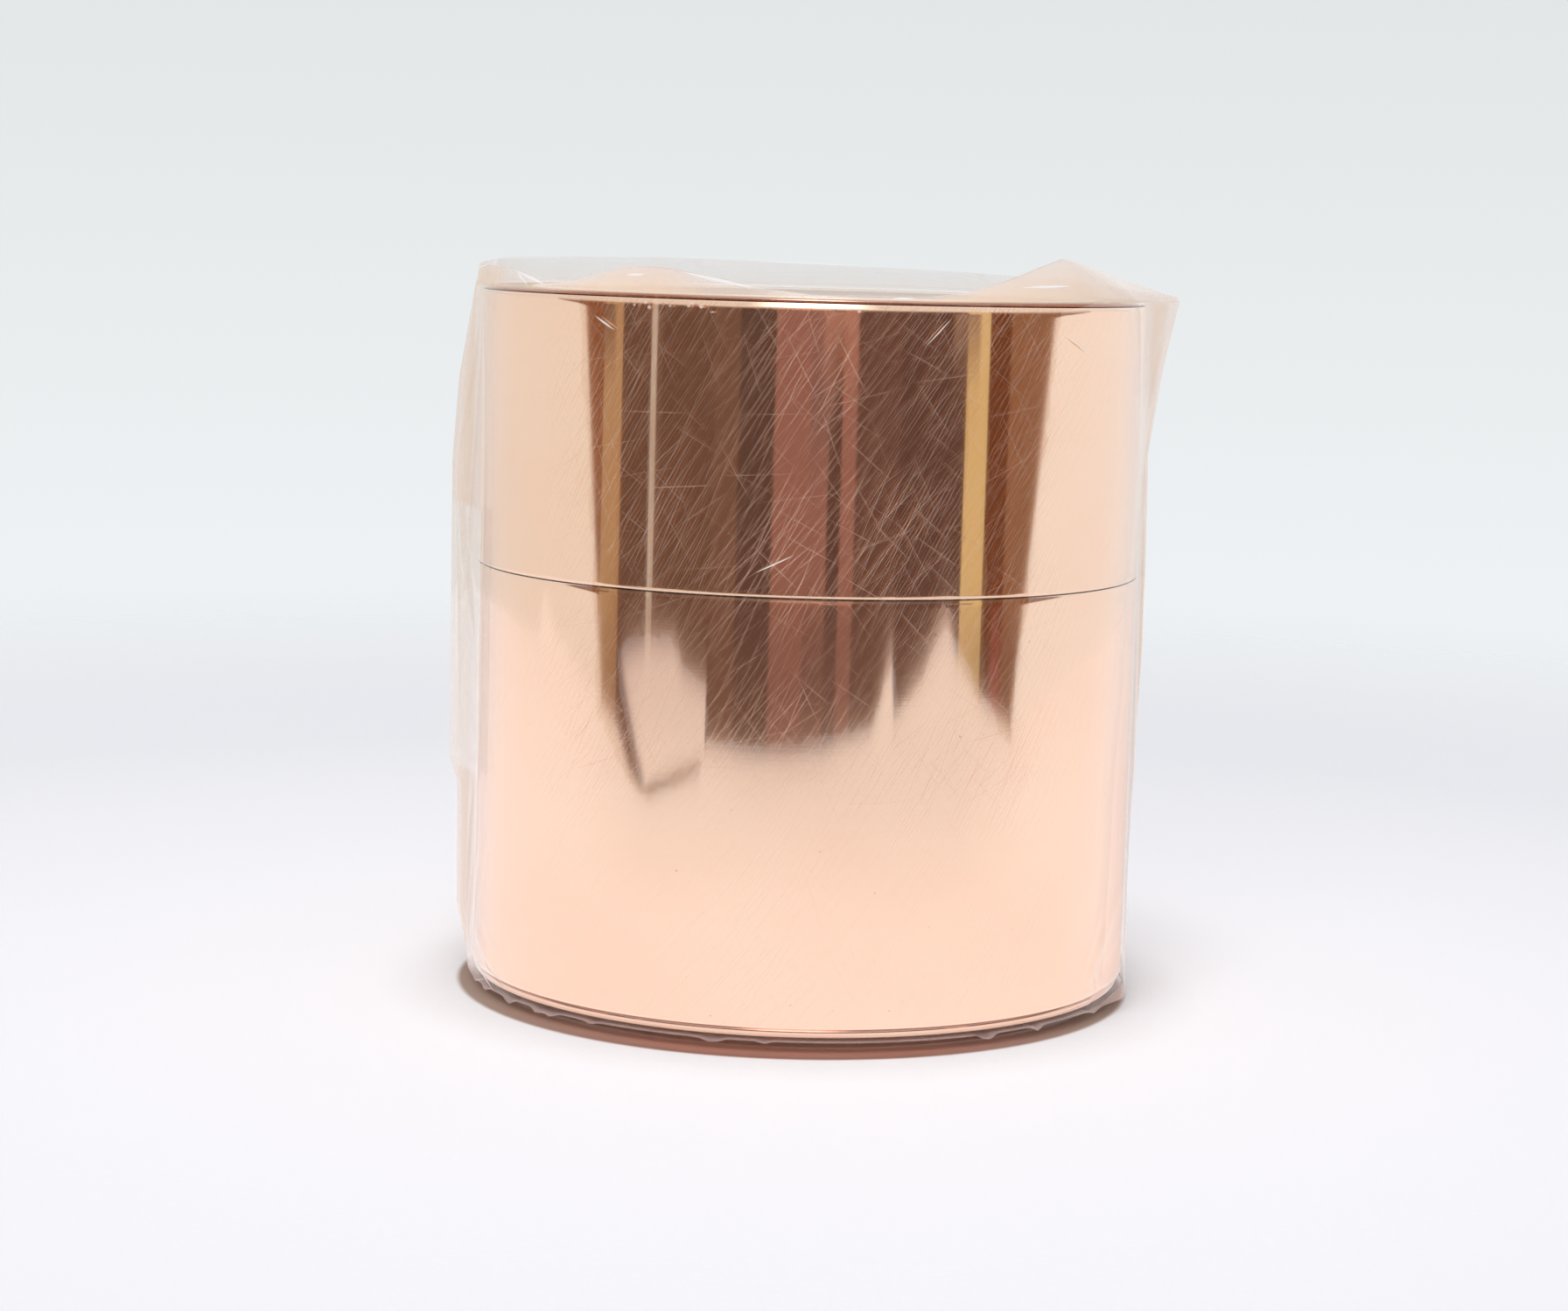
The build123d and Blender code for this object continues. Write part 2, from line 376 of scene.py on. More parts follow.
# (azimuth, height above the rim in mm) of the wrap's open top edge
COLLAR = ((0, 0.8), (30, 2.2), (60, 3.2), (120, 4.3), (165, 3.8), (180, 3.2), (195, 3.0), (205, 2.9),
          (212, 2.6), (219, 1.4), (225, 1.3), (231, 2.4), (237, 3.5), (244, 3.6), (250, 3.1), (256, 2.3),
          (262, 1.3), (270, 0.6), (288, 0.6), (295, 1.2), (304, 3.0), (312, 4.8), (319, 6.1), (326, 5.2),
          (335, 3.8), (345, 2.5), (353, 1.5), (360, 0.8))
# (azimuth, height in mm) of both ends, width and how far it stands out in mm
CREASES = (
    ((183, 76), (192, 96), 1.6, 0.30), ((183, 76), (188, 60), 1.3, 0.26),
    ((184, 77), (197, 50), 1.2, -0.20), ((183, 75), (186, 40), 1.0, 0.20),
    ((196, 98), (189, 55), 1.1, 0.16), ((194, 30), (188, 8), 1.4, 0.28),
    ((199, 22), (190, 5), 1.2, -0.18), ((-4, 98), (-10, 84), 1.6, -0.30),
    ((-2, 92), (-12, 70), 1.3, 0.22), ((-9, 82), (-13, 46), 0.9, 0.18),
    ((-14, 60), (-17, 24), 0.9, 0.16), ((-20, 18), (-34, 4), 1.6, 0.15),
    ((-16, 12), (-30, 5), 1.3, -0.12), ((-6, 100), (-26, 99), 1.0, 0.16),
    ((-20, 102), (-41, 108.5), 1.8, 0.40), ((206, 99), (192, 100), 1.2, 0.20),
    ((210, 5), (198, 9), 1.5, 0.25),
)


def heights_at(points, z):
    """Value at height z, along straight runs through (height in mm, value) points."""
    heights, values = zip(*points)
    return np.interp(np.asarray(z) / MM, heights, values)


def apart(azimuth, other):
    """Signed angle from one azimuth to another, within half a turn."""
    return (azimuth - other + 180) % 360 - 180


def fin(azimuth, fold, reach):
    """Extra radius of two straight panels that leave the round part and meet at the fold."""
    reach = np.maximum(reach, 0.01) * MM
    half = np.degrees(np.arccos(FILM_RADIUS / (FILM_RADIUS + reach)))
    off = np.minimum(np.abs(apart(azimuth, fold)), half)
    return FILM_RADIUS / np.cos(np.radians(half - off)) - FILM_RADIUS


def beside_copper(azimuth, fold, reach):
    """Painted copper reflection on a fin's panels beside the copper, from 0 to 1, fading to the fold."""
    share = fin(azimuth, fold, reach) / (np.maximum(reach, 0.5) * MM)
    return smooth(share, 0.0, 0.25) * (1 - 0.8 * smooth(share, 0.45, 0.98))


def crease(azimuth, z, start, end, width, height):
    """A straight ridge or furrow in the film, fading out towards both ends."""
    x = np.radians(apart(azimuth, start[0])) * FILM_RADIUS / MM
    y = z / MM - start[1]
    dx = radians(end[0] - start[0]) * FILM_RADIUS / MM
    dy = end[1] - start[1]
    along = (x * dx + y * dy) / (dx * dx + dy * dy)
    across = np.hypot(x - dx * np.clip(along, 0, 1), y - dy * np.clip(along, 0, 1))
    fade = np.sin(pi * np.clip(along, 0.02, 0.98)) ** 0.6
    return height * MM * fade * np.clip(1 - across / width, 0, 1)


def sleeve_radius(azimuth, z):
    """Radius of the upright film: round, with a fin at each side, creases and a little slack."""
    slack = waves(np.radians(azimuth) * 7, 41, 6) * np.sin(z / (23 * MM)) * 0.05
    slack = slack + 0.04 * waves(z / (6 * MM), 43, 5) * np.sin(np.radians(azimuth) * 5)
    radius = FILM_RADIUS + (0.08 + slack) * MM
    radius = radius + fin(azimuth, LEFT_FIN, heights_at(LEFT_REACH, z))
    radius = radius + fin(azimuth, heights_at(RIGHT_FOLD, z), heights_at(RIGHT_REACH, z))
    for start, end, width, height in CREASES:
        radius = radius + crease(azimuth, z, start, end, width, height)
    return np.maximum(radius, FILM_RADIUS - 0.1 * MM)


def collar_lean(azimuth):
    """How far the wrap's top edge leans in: a pinched lens at the front left and a flap at the right."""
    pinch = 2.4 * np.exp(-((apart(azimuth, 232) / 13) ** 2))
    flap = 3.6 * np.exp(-((apart(azimuth, 321) / 22) ** 2))
    back = 1.2 * np.exp(-((apart(azimuth, 95) / 50) ** 2))
    return (0.3 + pinch + flap + back) * MM


def hem_rows():
    """(radius, height, share of the sleeve's shape, share of the pleats) along the folded hem."""
    bend = 0.87
    rows = [(46.0, 0.0, 0, 0), (44.5, 0.0, 0, 0), (43.0, 0.0, 0, 0), (41.6, 0.0, 0, 0)]
    for turn in np.linspace(270, 90, 9):
        rows.append((41.0 + bend * cos(radians(turn)), bend * (1 + sin(radians(turn))), 0, 0))
    rows += [(42.5, 1.74, 0, 0), (44.0, 1.72, 0, 0.1), (45.5, 1.70, 0, 0.3), (46.8, 1.66, 0.1, 0.6)]
    rows += [(47.7, 1.62, 0.3, 0.9), (48.4, 1.58, 0.7, 1.0), (48.8, 1.66, 0.95, 0.7)]
    return rows


def pleat_drop(azimuth):
    """Small pointed pleats of bunched film that hang below the rolls."""
    draw = np.random.default_rng(17)
    drop = np.zeros_like(azimuth)
    for _ in range(26):
        middle = draw.uniform(0, 360)
        width = draw.uniform(1.5, 5.0)
        depth = draw.uniform(0.35, 1.15)
        lean = draw.uniform(0.3, 0.7)
        off = apart(azimuth, middle) / width
        side = np.where(off < 0, 1 + off / lean, 1 - off / (1 - lean))
        drop = np.maximum(drop, depth * np.clip(side, 0, 1))
    return drop * MM


def film_azimuths(columns):
    """Azimuths round the wrap, closest together at the two fins."""
    even = np.linspace(0, 2 * pi, columns + 1)[:-1]
    return np.degrees(even - 0.35 * np.sin(2 * even))


def hem_part(base):
    """Rows folded under the rolls. A row is (azimuths, radii, heights, tint, warmth, tucked)."""
    drop = pleat_drop(base)
    rows = []
    for radius, z, sleeve_share, pleats in hem_rows():
        height = np.full_like(base, z * MM + FLOOR_GAP) - pleats * drop
        under = radius * MM + 0.12 * MM * waves(np.radians(base) * 9, int(radius * 10), 6)
        upright = sleeve_radius(base, np.full_like(base, 2 * MM)) - 0.1 * MM
        joined = under * (1 - sleeve_share) + upright * sleeve_share
        # the pleats get a milky veil with painted copper reflection, the copper's light on the bunched
        # film
        tint = np.full_like(base, 0.26 * pleats)
        painted_reflection = np.full_like(base, 0.25 * pleats)
        rows.append((base, joined, height, tint, painted_reflection, np.ones_like(base)))
    return rows


def sleeve_part(base):
    """Upright rows round the rolls: the columns follow the right fold, which wanders to the front."""
    heights = [np.linspace(2.1, 12, 12), np.linspace(13.2, 92, 64), np.linspace(93, RIM / MM, 10)]
    follow = np.exp(-((apart(base, 0) / 40) ** 2))
    rows = []
    for z in np.concatenate(heights):
        height = np.full_like(base, z * MM)
        fold = heights_at(RIGHT_FOLD, height)
        azimuth = base + fold * follow
        # painted copper reflection on the fins' panels beside the copper, and at the sides seen at a
        # grazing angle
        left = beside_copper(azimuth, LEFT_FIN, heights_at(LEFT_REACH, height))
        right = beside_copper(azimuth, fold, heights_at(RIGHT_REACH, height))
        right = right * smooth(height, 76 * MM, 94 * MM)
        off_front = np.abs(apart(azimuth, FRONT))
        grazed = 0.55 * smooth(off_front, 66, 80) * (1 - smooth(off_front, 90, 100))
        painted_reflection = np.maximum(np.maximum(left, grazed), right)
        tucked = np.full_like(base, np.interp(z, (2.1, 3.9), (1.0, 0.0)))
        radius = sleeve_radius(azimuth, height)
        rows.append((azimuth, radius, height, np.zeros_like(base), painted_reflection, tucked))
    return rows


def collar_part(base):
    """Rows standing above the rim, up to the open top edge, leaning in and a little crumpled."""
    tops = np.interp(base, *zip(*COLLAR)) * MM + 0.05 * MM * waves(np.radians(base) * 7, 51, 4)
    lens = 0.9 * np.exp(-((apart(base, 237) / 14) ** 4))
    corner = 0.5 * np.exp(-((apart(base, 196) / 12) ** 4))
    over_rim = 0.25 + 0.55 * np.exp(-((apart(base, FRONT) / 60) ** 4))
    rows = []
    for share in np.linspace(0, 1, 12)[1:]:
        height = RIM + tops * share
        crumple = 0.08 * MM * share * waves(np.radians(base) * 9 + 3 * share, 53, 3)
        radius = sleeve_radius(base, height) - collar_lean(base) * share**1.4 + crumple
        ridge = 341 - 22 * share
        flap = smooth(base, 284, 300) * (1 - 0.55 * smooth(base, ridge - 1.5, ridge + 1.5))
        # milky crumpled film in the lens, corner and flap, coloured by painted copper reflection; more
        # of it over the rim
        tint = np.clip(flap + lens * (1 - 0.3 * share) + corner + 0.12, 0, 1)
        painted_reflection = np.maximum(over_rim * (1 - share), 1.6 * corner * (1 - 0.5 * share))
        rows.append((base, radius, height, tint, painted_reflection, np.zeros_like(base)))
    return rows


def film_wrap(material):
    """The clear wrap in one sheet: hem folded under the rolls, sleeve round them and an open collar."""
    columns = 400
    base = film_azimuths(columns)
    rows = hem_part(base) + sleeve_part(base) + collar_part(base)
    points = np.array([at(radius, azimuth, height) for azimuth, radius, height, *_ in rows])
    points = points.reshape(-1, 3)
    faces = grid_faces(len(rows), columns, wrap_columns=True)
    wrap = new_piece("film_wrap", points, faces, material, "wrap", ["film_sleeve", "film_bottom_hem"],
                     60)
    # stored for the film's material: the milky tint with painted copper colour, painted copper
    # reflection, tucked rows
    for index, name in ((3, "tint"), (4, "painted_reflection"), (5, "tucked")):
        paint(wrap, name, np.concatenate([row[index] for row in rows]))
    wall = wrap.modifiers.new("film thickness", "SOLIDIFY")
    wall.thickness = 0.05 * MM
    wall.offset = 0
    return wrap


def sealing_tape(material):
    """Clear tape over the left fin's front panel, its ends cut by the dispenser's teeth."""
    node = "film_seal_tape"
    teeth = 13
    first = LEFT_FIN + 0.8
    last = LEFT_FIN + 18.5
    azimuths = np.linspace(first, last, 2 * teeth + 1)

    def under(azimuth, z):
        return sleeve_radius(np.full_like(z, azimuth), z) + 0.06 * MM

    return toothed_strip("sealing_tape", under, azimuths, low(node), high(node), 0.05 * MM, 0.9 * MM,
                         material, "wrap", node)


# ---- node helpers

class Nodes:
    """Short calls for the shader nodes used here. Inputs are numbers, tuples or other nodes' outputs."""

    def __init__(self, tree):
        self.tree = tree
        tree.nodes.clear()

    def make(self, kind, inputs=(), **settings):
        node = self.tree.nodes.new(kind)
        for key, value in settings.items():
            setattr(node, key, value)
        for key, value in dict(inputs).items():
            if isinstance(value, bpy.types.NodeSocket):
                self.tree.links.new(value, node.inputs[key])
            else:
                node.inputs[key].default_value = value
        return node

    def math(self, operation, a, b=0.0, clamp=False):
        return self.make("ShaderNodeMath", {0: a, 1: b}, operation=operation, use_clamp=clamp).outputs[0]

    def plus(self, a, b, clamp=False):
        return self.math("ADD", a, b, clamp)

    def minus(self, a, b, clamp=False):
        return self.math("SUBTRACT", a, b, clamp)

    def times(self, a, b, clamp=False):
        return self.math("MULTIPLY", a, b, clamp)

    def length(self, x, y):
        """Length of a flat vector."""
        return self.math("SQRT", self.plus(self.math("POWER", x, 2.0), self.math("POWER", y, 2.0)))

    def principled(self, inputs):
        return self.make("ShaderNodeBsdfPrincipled", inputs).outputs[0]

    def blend(self, share, first, second):
        """The first shader where share is 0 and the second where it is 1."""
        return self.make("ShaderNodeMixShader", {0: share, 1: first, 2: second}).outputs[0]

    def normal(self):
        return self.make("ShaderNodeNewGeometry").outputs["Normal"]

    def painted(self, name):
        """The numbers that paint() stored on the piece."""
        return self.make("ShaderNodeAttribute", attribute_name=name).outputs["Fac"]

    def between(self, value, start, end):
        """1 where start < value < end, else 0."""
        above = self.math("GREATER_THAN", value, start)
        below = self.math("LESS_THAN", value, end)
        return self.times(above, below)

    def remap(self, value, from_low, from_high, to_low=0.0, to_high=1.0, kind="LINEAR"):
        inputs = {0: value, 1: from_low, 2: from_high, 3: to_low, 4: to_high}
        return self.make("ShaderNodeMapRange", inputs, interpolation_type=kind).outputs[0]

    def mix(self, share, a, b, blend="MIX"):
        node = self.make("ShaderNodeMix", data_type="RGBA", blend_type=blend)
        for index, value in ((0, share), (6, a), (7, b)):
            if isinstance(value, bpy.types.NodeSocket):
                self.tree.links.new(value, node.inputs[index])
            else:
                node.inputs[index].default_value = value if index == 0 else (*value, 1.0)
        return node.outputs[2]

    def noise(self, vector, scale, detail=2.0, roughness=0.5):
        inputs = {"Vector": vector, "Scale": scale, "Detail": detail, "Roughness": roughness}
        return self.make("ShaderNodeTexNoise", inputs).outputs[0]

    def combine(self, x, y, z=0.0):
        return self.make("ShaderNodeCombineXYZ", {0: x, 1: y, 2: z}).outputs[0]

    def separate(self, vector):
        return self.make("ShaderNodeSeparateXYZ", {0: vector}).outputs

    def ramp(self, value, stops, interpolation="LINEAR"):
        """Colour by position from (position, colour or number) stops."""
        node = self.make("ShaderNodeValToRGB", {0: value})
        band = node.color_ramp
        band.interpolation = interpolation
        while len(band.elements) < len(stops):
            band.elements.new(0.5)
        for element, (place, colour) in zip(band.elements, stops):
            element.position = place
            element.color = (*colour, 1.0) if isinstance(colour, tuple) else (colour,) * 3 + (1.0,)
        return node.outputs[0]

    def bump(self, height, distance, strength):
        inputs = {"Height": height, "Distance": distance, "Strength": strength}
        return self.make("ShaderNodeBump", inputs).outputs[0]

    def wall_place(self):
        """(distance round the wall, height, radius) in mm at a point of a roll or of the wrap."""
        x, y, z = self.separate(self.make("ShaderNodeTexCoord").outputs["Object"])
        turn = self.math("ARCTAN2", x, self.times(y, -1.0))
        radius = self.length(x, y)
        around = self.times(turn, LOG_OUTER / MM)
        return around, self.math("DIVIDE", z, MM), self.math("DIVIDE", radius, MM)


def new_material(name):
    """A material with an empty node tree, and its node helper."""
    material = bpy.data.materials.new(name)
    material.use_nodes = True
    return material, Nodes(material.node_tree)


def surface(nodes, shader):
    nodes.make("ShaderNodeOutputMaterial", {"Surface": shader})


# ---- materials

COPPER = (0.98, 0.70, 0.525)


def copper_foil():
    """Rolled copper: a mirror with fine lines along the tape, specks, darker slit edges and painted
    shade.
    """
    material, n = new_material("copper_foil")
    around, height, radius = n.wall_place()
    lines = n.noise(n.combine(n.times(around, 0.012), n.times(height, 5.0), radius), 1.0,
                    4.0, 0.7)
    cloud = n.noise(n.combine(n.times(around, 0.03), n.times(height, 0.05)), 1.0, 3.0)
    specks = n.noise(n.combine(around, height, radius), 1.6, 1.0)
    speck = n.remap(specks, 0.80, 0.84)
    tint = n.mix(n.remap(cloud, 0.35, 0.65), COPPER, (0.97, 0.67, 0.50))
    tint = n.mix(n.times(n.remap(lines, 0.45, 0.75), 0.10), tint, (0.86, 0.55, 0.40))
    tint = n.mix(n.times(speck, 0.6), tint, (0.42, 0.18, 0.10))
    normal = n.normal()
    facing_up = n.math("ABSOLUTE", n.separate(normal)[2])
    cut_edge = n.remap(facing_up, 0.8, 0.95)
    tint = n.mix(cut_edge, tint, (0.55, 0.24, 0.15))
    # painted shade: the copper turns dark red where a piece stores shade, in the groove beside the
    # covering turn
    shade = n.painted("shade")
    tint = n.mix(shade, tint, (0.42, 0.15, 0.10))
    tangent = n.make("ShaderNodeTangent", direction_type="RADIAL", axis="Z").outputs[0]
    roughness = n.remap(cloud, 0.3, 0.7, 0.045, 0.075)
    shader = n.principled({
        "Base Color": tint, "Metallic": 1.0, "Roughness": n.plus(roughness,
                                                                n.times(cut_edge, 0.3)),
        "Anisotropic": 0.75, "Anisotropic Rotation": 0.25, "Tangent": tangent,
        "Normal": n.bump(lines, 0.0000015, 0.5)})
    surface(n, shader)
    return material


def liner_paper():
    """Glassine release liner: pale yellow paper, slightly glossy, with a fibrous cut edge."""
    material, n = new_material("liner_paper")
    around, height, radius = n.wall_place()
    fibres = n.noise(n.combine(n.times(around, 1.2), height, n.times(radius, 6.0)), 2.2,
                     5.0, 0.65)
    tint = n.mix(n.remap(fibres, 0.3, 0.7), (0.86, 0.76, 0.58), (0.95, 0.88, 0.74))
    shader = n.principled({
        "Base Color": tint, "Roughness": n.remap(fibres, 0.3, 0.7, 0.38, 0.6),
        "Normal": n.bump(fibres, 0.00003, 0.5)})
    surface(n, shader)
    return material


def core_board():
    """Spiral-wound pale board: fibres along the strip, flecks, and plies at the cut ends."""
    material, n = new_material("core_board")
    around, height, radius = n.wall_place()
    slant = n.plus(height, n.times(around, 0.28))
    along = n.minus(around, n.times(height, 0.28))
    fibres = n.noise(n.combine(n.times(along, 0.35), n.times(slant, 2.4), radius), 1.0,
                     6.0, 0.7)
    clouds = n.noise(n.combine(around, height, radius), 0.18, 3.0)
    flecks = n.remap(n.noise(n.combine(around, height, n.times(radius, 2.0)), 3.1, 2.0), 0.66, 0.72)
    plies = n.math("SINE", n.times(radius, 2 * pi / 0.6))
    normal = n.normal()
    on_end = n.remap(n.math("ABSOLUTE", n.separate(normal)[2]), 0.5, 0.8)
    tint = n.mix(n.remap(fibres, 0.25, 0.75), (0.93, 0.84, 0.76), (0.99, 0.93, 0.87))
    tint = n.mix(n.times(n.remap(clouds, 0.3, 0.7), 0.3), tint, (0.92, 0.82, 0.73))
    tint = n.mix(n.times(flecks, 0.30), tint, (0.52, 0.40, 0.28))
    ply_shade = n.times(n.times(n.remap(plies, -1.0, -0.4, 1.0, 0.0), on_end), 0.6)
    tint = n.mix(ply_shade, tint, (0.50, 0.37, 0.24))
    shader = n.principled({
        "Base Color": tint, "Roughness": n.remap(fibres, 0.2, 0.8, 0.7, 0.92),
        "Normal": n.bump(fibres, 0.00008, 0.7)})
    surface(n, shader)
    return material


def double_sided_tape():
    """Milky double-sided tape with tiny air bubbles under it."""
    material, n = new_material("double_sided_tape")
    around, height, radius = n.wall_place()
    bubbles = n.remap(n.noise(n.combine(around, height, radius), 1.7, 3.0, 0.6), 0.52, 0.60)
    tint = n.mix(bubbles, (0.80, 0.78, 0.70), (0.90, 0.89, 0.84))
    shader = n.principled({
        "Base Color": tint, "Roughness": n.remap(bubbles, 0.0, 1.0, 0.28, 0.45), "Coat Weight": 0.3,
        "Normal": n.bump(bubbles, 0.00002, 0.6)})
    surface(n, shader)
    return material


def hairlines(n, around, height):
    """Fine, nearly straight scratches, each in its own cell of a slanted grid, all added up."""
    total = 0.0
    # slant in degrees, spacing and length in mm, share of cells that hold a scratch
    for slant, spacing, length, filled in ((58, 0.6, 15, 0.9), (50, 0.9, 11, 0.8), (66, 1.0, 20, 0.8),
                                           (38, 1.8, 9, 0.6), (14, 3.8, 12, 0.5), (-38, 2.4, 9, 0.5),
                                           (-64, 2.8, 11, 0.6)):
        a = radians(slant)
        along = n.plus(n.times(around, cos(a)), n.times(height, sin(a)))
        across = n.minus(n.times(height, cos(a)), n.times(around, sin(a)))
        across = n.plus(across, n.math("SINE", n.times(along, 0.06)))
        lane = n.math("DIVIDE", across, spacing)
        lane_number = n.math("FLOOR", lane)
        step = n.plus(n.math("DIVIDE", along, length), n.times(lane_number, 0.37))
        cell = n.combine(n.math("FLOOR", step), lane_number, slant)
        draw = n.make("ShaderNodeTexWhiteNoise", {"Vector": cell}).outputs["Color"]
        where, lean, present = n.separate(draw)
        run = n.minus(n.math("FRACT", step), 0.5)
        tilt = n.times(n.minus(lean, 0.5), n.times(run, 1.2))
        middle = n.plus(n.plus(n.times(where, 0.4), 0.3), tilt)
        off = n.math("ABSOLUTE", n.minus(n.math("FRACT", lane), middle))
        line = n.remap(n.times(off, spacing), 0.015, 0.06, 1.0, 0.0)
        ends = n.remap(n.math("ABSOLUTE", run), 0.22, 0.48, 1.0, 0.0)
        shown = n.remap(present, 1 - filled, 1.0, 0.0, 1.0)
        total = n.plus(total, n.times(n.times(line, ends), shown))
    return total


def stroke(n, place, start, end, width):
    """1 on a straight stroke between two (distance round, height) places in mm, 0 past its width."""
    dx = end[0] - start[0]
    dy = end[1] - start[1]
    x, y, _ = n.separate(place)
    x = n.minus(x, start[0])
    y = n.minus(y, start[1])
    reach = n.plus(n.times(x, dx), n.times(y, dy))
    share = n.math("DIVIDE", reach, dx * dx + dy * dy, clamp=True)
    off_x = n.minus(x, n.times(share, dx))
    off_y = n.minus(y, n.times(share, dy))
    off = n.length(off_x, off_y)
    taper = n.times(n.math("SINE", n.times(share, pi)), width)
    taper = n.math("MAXIMUM", taper, 0.01)
    return n.remap(off, 0.0, taper, 1.0, 0.0, "SMOOTHSTEP")


# painted highlights on folds of the wrap: ends as (azimuth, height above the rim in mm), and width in mm
GLINTS = (
    ((249, 3.0), (261, 1.2), 0.55), ((211, 2.5), (220, 0.7), 0.5), ((212, 2.2), (216, 0.5), 0.35),
    ((188, 2.4), (198, 2.9), 0.25), ((306, 2.1), (317, 2.4), 0.25), ((346, 2.2), (359, 0.9), 0.2),
    ((238, 2.4), (242, 2.5), 0.2), ((282, 0.3), (286, 0.4), 0.25), ((233, -3.2), (237, -5.0), 0.25),
    ((316, -4.5), (322, -6.8), 0.15), ((292, -2.2), (288, -5.8), 0.15),
    ((268, -34.0), (262, -36.5), 0.15), ((198, -97.0), (209, -100.2), 0.3),
)


def glints(n, place):
    """Painted highlights along creases of the wrap, from 0 to 1."""
    glint = 0.0
    for start, end, width in GLINTS:
        start, end = [(radians(azimuth - FRONT) * LOG_OUTER / MM, RIM / MM + rise)
                      for azimuth, rise in (start, end)]
        glint = n.math("MAXIMUM", glint, stroke(n, place, start, end, width))
    return glint


def rim_bubble_highlights(n, place, around, height):
    """Painted highlights on small air bubbles between film and foil, in two patches just under the front
    rim.
    """
    spots = n.make("ShaderNodeTexVoronoi", {"Vector": place, "Scale": 0.8, "Randomness": 0.8})
    dots = n.remap(spots.outputs["Distance"], 0.16, 0.30, 1.0, 0.0)
    under_rim = n.between(height, RIM / MM - 2.2, RIM / MM - 0.9)
    left = n.between(around, -25.0, -13.0)
    right = n.between(around, 4.5, 7.0)
    return n.times(n.times(dots, under_rim), n.plus(left, right))


def see_through(name, sheen, scratched, wrapping):
    """Thin clear film or tape: clear, a mirror share that grows at grazing angles, and a milky veil.

    The wrapping also has painted copper reflection and painted highlights. Lamps shine straight through
    both.
    """
    material, n = new_material(name)
    around, height, radius = n.wall_place()
    place = n.combine(around, height, radius)
    folds = n.combine(n.times(around, 0.30), n.times(height, 0.10), radius)
    wrinkle = n.noise(folds, 1.0, 2.0, 0.5)
    normal = n.bump(wrinkle, 0.00012, 0.30)
    facing = n.make("ShaderNodeLayerWeight", {"Blend": 0.5, "Normal": normal}).outputs["Facing"]
    mirror = n.plus(sheen, n.times(n.math("POWER", facing, 5.0), 1.0 - sheen))
    mirror = n.math("MINIMUM", mirror, 0.6)
    worn = n.remap(n.noise(place, 0.07, 2.0), 0.35, 0.65, 0.25, 1.0)
    front = n.remap(n.math("ABSOLUTE", around), 30.0, 46.0, 1.0, 0.15, "SMOOTHSTEP")
    handled = n.remap(height, 26.0, 42.0, 0.2, 1.0, "SMOOTHSTEP")
    handled = n.times(handled, n.remap(height, RIM / MM - 1.0, RIM / MM, 1.0, 0.0))
    worn = n.times(worn, n.times(front, handled))
    veil = n.times(n.times(hairlines(n, around, height), worn), scratched, clamp=True)
    # the scratches are wear; their warm colour is painted copper light on them
    colour = (1.0, 0.74, 0.60)
    if wrapping:
        tint = n.painted("tint")
        tucked = n.painted("tucked")
        cloud = n.remap(n.noise(place, 0.15, 2.0), 0.3, 0.7, 0.8, 1.1)
        painted_reflection = n.painted("painted_reflection")
        # painted copper reflection: the stored tint and reflection rows give the milky veil the copper's
        # colour
        colour = n.mix(tint, colour, (0.93, 0.77, 0.66))
        colour = n.mix(painted_reflection, colour, (1.0, 0.76, 0.54))
        # painted highlights on air bubbles under the rim
        veil = n.plus(veil, n.times(rim_bubble_highlights(n, place, around, height), 0.55))
        # tucked under the rolls: less mirror, and a pinker painted copper reflection on the bunched film
        mirror = n.times(mirror, n.remap(tucked, 0.0, 1.0, 1.0, 0.12))
        colour = n.mix(n.times(tucked, 0.8), colour, (1.0, 0.80, 0.78))
        # painted highlights along creases of the wrap
        glint = glints(n, place)
        colour = n.mix(glint, colour, (1.0, 1.0, 1.0))
        mirror = n.times(mirror, n.remap(painted_reflection, 0.0, 1.0, 1.0, 0.5))
        veil = n.plus(veil, n.times(painted_reflection, 0.28))
        veil = n.plus(veil, n.times(glint, 0.6))
        veil = n.plus(veil, n.times(n.times(tint, cloud), 0.5), clamp=True)
    else:
        colour = n.mix(worn, (0.97, 0.96, 0.92), colour)
        bonded = n.remap(n.noise(place, 0.22, 2.0), 0.35, 0.65, 0.05, 0.11)
        veil = n.plus(veil, bonded, clamp=True)
    clear = n.make("ShaderNodeBsdfTransparent").outputs[0]
    shiny = n.principled({
        "Base Color": (1.0, 1.0, 1.0, 1.0), "Metallic": 1.0, "Roughness": 0.03,
        "Normal": normal})
    milky = n.principled({"Base Color": colour, "Roughness": 0.45})
    sheet = n.blend(mirror, clear, shiny)
    seen = n.blend(veil, sheet, milky)
    lamps = n.make("ShaderNodeBsdfTransparent", {"Color": (0.96, 0.96, 0.96, 1.0)}).outputs[0]
    shadow = n.make("ShaderNodeLightPath").outputs["Is Shadow Ray"]
    surface(n, n.blend(shadow, seen, lamps))
    return material


# ---- the room

